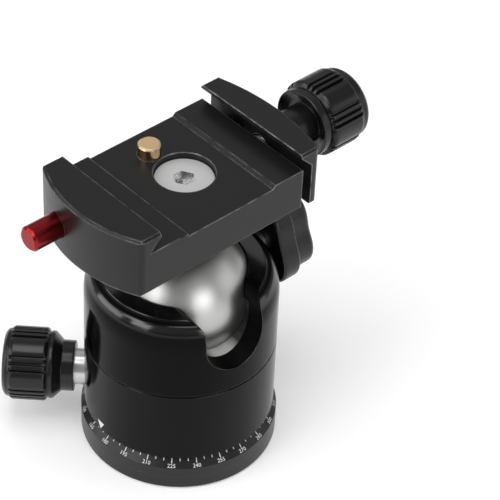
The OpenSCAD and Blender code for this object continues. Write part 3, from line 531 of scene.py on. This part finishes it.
# Profiles: along, radius and rounding, from the bottom of the bore round the outside to the cap's recess.
# Only radii above cutAbove are grooved.
clampKnobSpec = {
    "centre": (0, 0, 64.5), "turn": 0, "phase": 33, "spacing": 10, "crown": 0.22, "ribDrop": 0.14,
    "depth": 0.95, "grooves": (33.7, 41.7), "grooveEnd": 0.7, "cutAbove": 7.25,
    "profile": [(39.16, 2.5), (24.75, 2.5), (24.75, 4.2, 0.15), (32.75, 4.2, 0.35), (32.6, 5.2, 0.3),
                (32.0, 6.4, 0.35), (31.6, 6.9, 0.1), (31.55, 7.08, 0.06), (31.72, 7.28, 0.1),
                (33.1, 7.3, 0.08), (33.28, 6.95, 0.1), (33.48, 6.95, 0.08), (33.62, 7.4, 0.06),
                (34.15, 8.18, 0.15), (34.6, 8.3, 0.1), (41.25, 8.3, 0.3), (41.95, 7.72, 0.2),
                (42.25, 7.62, 0.1), (43.3, 7.6, 0.3), (44.15, 6.9, 0.3), (44.15, 5.62, 0.14), (42.95, 5.5)],
}
panKnobSpec = {
    "centre": (0, 0, 13.6), "turn": 135.2, "phase": 41, "spacing": 10.6, "crown": 0.22, "ribDrop": 0.14,
    "depth": 0.85, "grooves": (27.9, 35.45), "grooveEnd": 0.7, "cutAbove": 7.15,
    "profile": [(31.09, 3.9), (22.09, 3.9), (22.09, 5.4, 0.22), (24.69, 5.4, 0.12), (26.3, 7.0, 0.2),
                (26.5, 7.18, 0.12), (27.25, 7.2, 0.1), (27.36, 6.95, 0.06), (27.52, 6.95, 0.06),
                (27.65, 7.2, 0.05), (28.0, 7.7, 0.12), (28.3, 7.8, 0.1), (35.1, 7.8, 0.3), (35.62, 7.34, 0.2),
                (35.85, 7.2, 0.1), (36.25, 7.2, 0.25), (36.99, 6.4, 0.3), (36.99, 5.32, 0.14), (35.79, 5.2)],
}


# Columns of a grooved grip: close together at each groove's walls, wide apart on the lands
def gripTurns(spec, layout):
    wall, spacing, sector = np.array(layout["wall"]), spec["spacing"], 360 / layout["groups"]
    groove = np.concatenate([-wall[::-1], [0], wall])
    near = np.concatenate([groove + middle for middle in (-spacing, 0, spacing)])
    land = np.linspace(spacing + layout["landFrom"], sector / 2, layout["landColumns"])
    group = np.concatenate([near, [-spacing / 2, spacing / 2], land, -land[:-1]])
    starts = sector * np.arange(layout["groups"])[:, None]
    return np.radians(np.sort((group[None] + spec["phase"] + starts).ravel()))


# Grooved grip: radius = profile - window * (crown of the lands, drop of the ribs) - depth * groove(turn) *
# bowl(along); the groove is 1 over its floor and 0 at the top of its walls, and the bowl is round at both ends
def gripRadius(distance, radius, turns, spec, layout):
    half = 180 / layout["groups"]
    inGroup = np.abs((np.degrees(turns) - spec["phase"] + half) % (2 * half) - half)
    toGroove = np.minimum(inGroup, np.abs(inGroup - spec["spacing"]))
    groove = np.interp(toGroove, layout["wall"], layout["wallDepth"])
    edge = spec["spacing"] + layout["wall"][-1]
    crown = np.where(inGroup > edge, spec["crown"] * ((half - inGroup) / (half - edge)) ** 4, spec["ribDrop"])
    start, end = spec["grooves"]
    inside = np.minimum(distance - start, end - distance)
    bowl = np.sqrt(1 - (1 - np.clip(inside / spec["grooveEnd"], 0, 1)) ** 2)
    window = np.clip(inside / layout["landFade"] + 1, 0, 1)
    lowered = window[:, None] * crown[None] + spec["depth"] * bowl[:, None] * groove[None]
    return radius[:, None] - np.where((radius > spec["cutAbove"])[:, None], lowered, 0)


def addGrip(name, spec, body, node):
    profile = roundedProfile(spec["profile"], gripLayout["longest"])
    turns = gripTurns(spec, gripLayout)
    radius = gripRadius(profile[:, 0], profile[:, 1], turns, spec, gripLayout)
    where = axisPlace(spec["centre"], spec["turn"])
    addTurned(name, turnedRows(profile[:, 0], radius, turns, where), "knobBlack", body, node)


addGrip("clampKnobGrip", clampKnobSpec, "clamp_knob", "clamp_knob")
addGrip("panKnobGrip", panKnobSpec, "pan_knob", "pan_knob")

lockKnobSpec = {
    "centre": (0, 0, 39.2), "lobes": 3, "rise": 1.2, "phase": 220, "plainRadius": 4.3, "lobedRadius": 5.8,
    "columns": 192, "longest": 0.6, "steps": 8,
    "profile": [(26.52, 3.0), (20.59, 3.0), (20.59, 8.65, 0.05), (21.09, 9.1, 0.3), (24.75, 9.1, 0.3),
                (25.19, 8.75, 0.15), (25.36, 8.02, 0.15), (27.5, 7.9, 0.5), (30.39, 7.9, 1.95),
                (30.39, 4.05, 0.18), (28.79, 3.9)],
}


# Lobed knob: radius = profile + rise * cos(lobes * (turn - phase)), faded out towards the bore and the cap
def addLobed(name, spec, body, node):
    profile = roundedProfile(spec["profile"], spec["longest"], spec["steps"])
    turns = fullTurn(spec["columns"])
    wave = spec["rise"] * np.cos(spec["lobes"] * (turns - math.radians(spec["phase"])))
    fade = np.clip((profile[:, 1] - spec["plainRadius"]) / (spec["lobedRadius"] - spec["plainRadius"]), 0, 1)
    radius = profile[:, 1][:, None] + fade[:, None] * wave[None]
    where = axisPlace(spec["centre"])
    addTurned(name, turnedRows(profile[:, 0], radius, turns, where), "knobBlack", body, node)


addLobed("lockKnobGrip", lockKnobSpec, "lock_knob", "lock_knob")
print("knobs made")


# Thread ridge: 1 on the crest and 0 in the root, read from the part of a turn that along / pitch - turn leaves
def ridge(distance, turns, pitch, steepness=1.5, root=0.2):
    part = (distance[:, None] / pitch - turns[None] / (2 * math.pi)) % 1
    return np.clip(steepness * (1 - np.abs(2 * part - 1)) - root, 0, 1)


clampScrewSpec = {
    "centre": (0, 0, 64.5), "tip": 10.4, "threadEnd": 31.0, "runOut": 0.1, "end": 39.11, "radius": 2.5,
    "depth": 0.5, "pitch": 1.0, "chamfer": 0.6, "rows": 10, "columns": 40,  # rows in a pitch
}


# Threaded rod: radius = outer - depth * (1 - ridge) over the threaded stretch, with a chamfered tip
def addClampScrew(spec):
    turns = fullTurn(spec["columns"])
    threaded = np.arange(spec["tip"], spec["threadEnd"], spec["pitch"] / spec["rows"])
    distance = np.concatenate([threaded, [spec["threadEnd"] + spec["runOut"], spec["end"]]])
    outer = np.minimum(spec["radius"], spec["radius"] - spec["chamfer"] + distance - spec["tip"])
    depth = np.where(distance < spec["threadEnd"], spec["depth"], 0)[:, None]
    thread = spec["radius"] - depth * (1 - ridge(distance, turns, spec["pitch"]))
    rows = turnedRows(distance, np.minimum(outer[:, None], thread), turns, axisPlace(spec["centre"]))
    addTurned("clampScrewThread", rows, "screwSteel", "clamp_knob", "clamp_screw")


tripodBushSpec = {
    "bore": 4.0, "mouth": 0.75, "depth": 9.0, "cutOut": 0.7, "pitch": 25.4 / 16, "rows": 12, "columns": 72,
    "threadFrom": 8.8, "threadTo": 0.001, "fade": 0.8, "longest": 3.0,
    # height, radius and rounding of the outside, from the mouth up
    "profile": [(0, 4.75), (0, 8.0, 0.2), (1.4, 8.0, 0.2), (1.4, 6.0, 0.1), (10.0, 6.0, 0.3), (10.0, 0.5)],
}


# Bush with a 3/8 inch thread: bore radius = bore + cut * (1 - ridge), widened to a countersink at the mouth
def addTripodBush(spec):
    turns = fullTurn(spec["columns"])
    down = np.arange(spec["threadFrom"], spec["threadTo"], -spec["pitch"] / spec["rows"])
    fade = np.clip((spec["threadFrom"] - down) / spec["fade"], 0, 1)[:, None]
    thread = spec["bore"] + fade * spec["cutOut"] * (1 - ridge(down, turns, spec["pitch"]))
    bore = np.maximum(thread, spec["bore"] + spec["mouth"] - down[:, None])
    outside = roundedProfile(spec["profile"], spec["longest"])
    distance = np.concatenate([[spec["depth"]], down, outside[:, 0]])
    floor, shell = np.full((1, len(turns)), spec["bore"]), np.repeat(outside[:, 1][:, None], len(turns), 1)
    where = axisPlace((0, 0, 0), upright=True)
    rows = turnedRows(distance, np.concatenate([floor, bore, shell]), turns, where)
    addTurned("tripodBush", rows, "hiddenSteel", "base", "tripod_socket")


addClampScrew(clampScrewSpec)
addTripodBush(tripodBushSpec)
print("threads made")

# Points in a turn, sides of the wire, turns that lie closed at each end
coilSpec = {"steps": 24, "sides": 10, "closed": 0.9}
pressedSprings = {
    "buttonCoil": {"node": "button_spring", "wire": 0.4, "turns": 7, "joint": "button_push", "travel": 2.8,
                   "upright": False, "footAtEnd": True},
    "pinCoil": {"node": "pin_spring", "wire": 0.3, "turns": 5, "joint": "safety_pin_drop", "travel": 2.8,
                "upright": True, "footAtEnd": False},
}
jawSpringSpec = {"node": "jaw_springs", "wire": 0.5, "turns": 6}


# Coil spring: point = centre + along * rise(turn) + radius * spoke(turn) + wire / 2 * (cos b along +
# sin b spoke), where rise climbs by less than a wire in the closed end turns and evenly between them
def coilRows(where, outer, length, spring, spec):
    centre, along, beside, above = where
    wire, turns, closed = spring["wire"], spring["turns"], spec["closed"]
    turn, foot = np.linspace(0, turns, int(turns * spec["steps"]) + 1), closed * wire
    climb = [0, foot, length - wire - foot, length - wire]
    rise = wire / 2 + np.interp(turn, [0, closed, turns - closed, turns], climb)
    angle = 2 * math.pi * turn[:, None]
    spoke = np.cos(angle) * beside + np.sin(angle) * above
    aroundWire = fullTurn(spec["sides"])[None, :, None]
    ring = np.cos(aroundWire) * along + np.sin(aroundWire) * spoke[:, None]
    return centre + rise[:, None, None] * along + (outer - wire / 2) * spoke[:, None] + wire / 2 * ring


# The box of a spring's node at rest, in mm
def springBox(node):
    low, high = (np.array(corner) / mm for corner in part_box(node))
    return low, high, high - low


# One spring laid along its node's box; its foot, the far end where footAtEnd is true, and the share kept after
# travel are worked out, but nothing moves or shortens it
def addPressedSpring(name, spec):
    low, high, size = springBox(spec["node"])
    axis, beside = (2, 0) if spec["upright"] else (0, 2)
    start, end = (low + high) / 2, (low + high) / 2
    start[axis], end[axis] = low[axis], high[axis]
    where = axisPlace(start, upright=spec["upright"])
    rows = coilRows(where, max(size[beside], size[1]) / 2, size[axis], spec, coilSpec)
    piece = addTurned(name, rows, "springBright", "clamp", spec["node"])
    foot, keep = end if spec["footAtEnd"] else start, 1 - spec["travel"] / size[axis]
    tuple(foot * mm)
    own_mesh(piece)


# Two springs that lie side by side, given no body, with the turns between their closed ends spread evenly
def addJawSprings(spec):
    low, high, size = springBox(spec["node"])
    outer, middle = size[2] / 2, (low[2] + high[2]) / 2
    for side, y in (("Front", low[1] + outer), ("Back", high[1] - outer)):
        start, end = np.array([low[0], y, middle]), np.array([high[0], y, middle])
        rows = coilRows(axisPlace(start), outer, size[0], spec, coilSpec)
        piece = addTurned("jawSpring" + side, rows, "springBright", None, spec["node"])
        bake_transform(piece)


for name, spec in pressedSprings.items():
    addPressedSpring(name, spec)
addJawSprings(jawSpringSpec)
print("springs made")

scaleSpec = {
    "radius": 19.0, "top": 7.5,  # upper edge of the ring's bevel
    "count": 72, "longEvery": 3, "long": 1.2, "short": 0.72, "start": 0.2, "width": 0.20, "deep": 0.10,
    "inset": 0.02, "sunk": 0.005,  # paint off the ends and under the mouth of its cut
    "numberEvery": 15, "numberHeight": 0.82, "numberStart": 1.5, "numberRaise": 0.012, "numberRadius": 20.2,
    "fontHeight": 0.70, "fontDepth": 0.01, "fontSteps": 2,  # of the plain font at size 1
    "crease": 20,
}


# Point on the ring's 45 degree bevel: outward-down by u from its top edge and lifted n off it, turn in radians
def onBevel(u, n, turn, spec):
    radius = spec["radius"] + (u + n) / math.sqrt(2)
    return np.stack([radius * np.cos(turn), radius * np.sin(turn), spec["top"] + (n - u) / math.sqrt(2)], -1)


# White fill of the cut marks: one thin box each, its corners the product of two sides, two ends and two depths;
# u = start + end * long down the bevel, turn = mark's own + side * width / 2 / radius
def addScalePaint(spec):
    marks = np.arange(spec["count"])
    long = np.where(marks % spec["longEvery"] == 0, spec["long"], spec["short"])
    side, end, lift = (grid.ravel() for grid in np.meshgrid([-1, 1], [0, 1], [0, 1], indexing="ij"))
    u = spec["start"] + spec["inset"] + end[None] * (long[:, None] - 2 * spec["inset"])
    n = np.broadcast_to(-spec["deep"] * (1 - lift) - spec["sunk"], u.shape)
    radius = spec["radius"] + u / math.sqrt(2)
    turn = 2 * math.pi * marks[:, None] / spec["count"] + side[None] * spec["width"] / 2 / radius
    points = onBevel(u, n, turn, spec).reshape(-1, 3)
    box = np.array([(0, 1, 3, 2), (4, 6, 7, 5), (0, 4, 5, 1), (2, 3, 7, 6), (0, 2, 6, 4), (1, 5, 7, 3)])
    faces = (box[None] + 8 * marks[:, None, None]).reshape(-1, 4).tolist()
    addPiece("scalePaint", points, faces, "markWhite", "base", crease=spec["crease"])


# Small figures every few degrees, from a plain font, wrapped on the bevel with their tops towards the marks:
# u = start + height - scale * y, turn = figure's own + scale * x / radius, n from the letter's own depth
def addNumerals(spec):
    points, faces, offset = [], [], 0
    scale = spec["numberHeight"] / spec["fontHeight"]
    for degrees in range(0, 360, spec["numberEvery"]):
        words = bpy.data.curves.new("figures", "FONT")
        words.body, words.align_x = str(degrees), "CENTER"
        words.size, words.resolution_u, words.extrude = 1.0, spec["fontSteps"], spec["fontDepth"]
        holder = bpy.data.objects.new("figures", words)
        mesh = bpy.data.meshes.new_from_object(holder)
        flat = np.empty(len(mesh.vertices) * 3)
        mesh.vertices.foreach_get("co", flat)
        flat = flat.reshape(-1, 3)
        u = spec["numberStart"] + spec["numberHeight"] - flat[:, 1] * scale
        n = flat[:, 2] / spec["fontDepth"] * spec["numberRaise"]
        turn = math.radians(degrees) + flat[:, 0] * scale / spec["numberRadius"]
        points.append(onBevel(u, n, turn, spec))
        faces += [[offset + k for k in face.vertices] for face in mesh.polygons]
        offset += len(flat)
        bpy.data.objects.remove(holder)
        bpy.data.meshes.remove(mesh)
        bpy.data.curves.remove(words)
    addPiece("scaleNumerals", np.concatenate(points), faces, "markWhite", "base", crease=spec["crease"])


indexSpec = {"turn": 175.0, "radius": 20.09, "top": 10.25, "height": 1.9, "half": 1.1, "tip": 0.98,
             "sunk": 0.02, "thick": 0.03, "rows": 8, "columns": 7, "crease": 20}


# Index triangle on the housing wall: half width = half * (1 - s) at s of the way down, lifted by its thickness
def addIndexMark(spec):
    down, across = spec["rows"], spec["columns"]
    s, t = np.meshgrid(np.linspace(0, spec["tip"], down), np.linspace(-1, 1, across), indexing="ij")
    turn = math.radians(spec["turn"]) + t * spec["half"] * (1 - s) / spec["radius"]
    height = spec["top"] - s * spec["height"]
    sheets = [np.stack([radius * np.cos(turn), radius * np.sin(turn), height], -1).reshape(-1, 3)
              for radius in (spec["radius"] - spec["sunk"], spec["radius"] + spec["thick"])]
    count = down * across
    index = np.arange(count).reshape(down, across)
    face = np.stack([index[:-1, :-1], index[:-1, 1:], index[1:, 1:], index[1:, :-1]], -1).reshape(-1, 4)
    rim = np.concatenate([index[0, :-1], index[:-1, -1], index[-1, :0:-1], index[:0:-1, 0]])
    after = np.roll(rim, -1)
    walls = np.stack([rim, rim + count, after + count, after], -1)
    faces = np.concatenate([face, face[:, ::-1] + count, walls]).tolist()
    addPiece("indexMark", np.concatenate(sheets), faces, "markWhite", "housing", crease=spec["crease"])


addScalePaint(scaleSpec)
addNumerals(scaleSpec)
addIndexMark(indexSpec)
print("scale made")


def grey(value):
    return (value, value, value, 1)


# 1 for rays from the camera, from a gloss or through glass, 0 for the rays that light the object
def inSight(finish):
    seen, mirrored, through = (finish.node("ShaderNodeLightPath", {}, {}, out=key)
                               for key in ("Is Camera Ray", "Is Glossy Ray", "Is Transmission Ray"))
    return seen + mirrored + through


floorSpec = {"half": 2000, "sink": 0.05, "paper": 0.86, "glow": 0.20}


# Pale floor: a white sheet that keeps the shadow, and shows white to the camera and in reflections
def makeFloor(spec):
    finish = Finish("floorWhite")
    paper = finish.node("ShaderNodeBsdfDiffuse", {}, {"Color": grey(spec["paper"])})
    glow = inSight(finish) * spec["glow"]
    light = finish.node("ShaderNodeEmission", {}, {"Color": grey(1.0), "Strength": glow})
    half, height = spec["half"] * mm, -spec["sink"] * mm
    mesh = bpy.data.meshes.new("floor")
    corners = [(x * half, y * half, height) for x, y in ((-1, -1), (1, -1), (1, 1), (-1, 1))]
    mesh.from_pydata(corners, [], [(0, 1, 2, 3)])
    mesh.materials.append(finish.close(finish.node("ShaderNodeAddShader", {}, {0: paper, 1: light})))
    floor = putInScene("floor", mesh)


worldStrength = 0.30


def makeWorld(strength):
    world = bpy.data.worlds.new("studio")
    world.use_nodes = True
    background = world.node_tree.nodes["Background"]
    background.inputs["Color"].default_value = grey(1.0)
    background.inputs["Strength"].default_value = strength
    bpy.context.scene.world = world


makeFloor(floorSpec)
makeWorld(worldStrength)
bpy.context.scene.view_settings.view_transform = "Standard"
print("stage set")
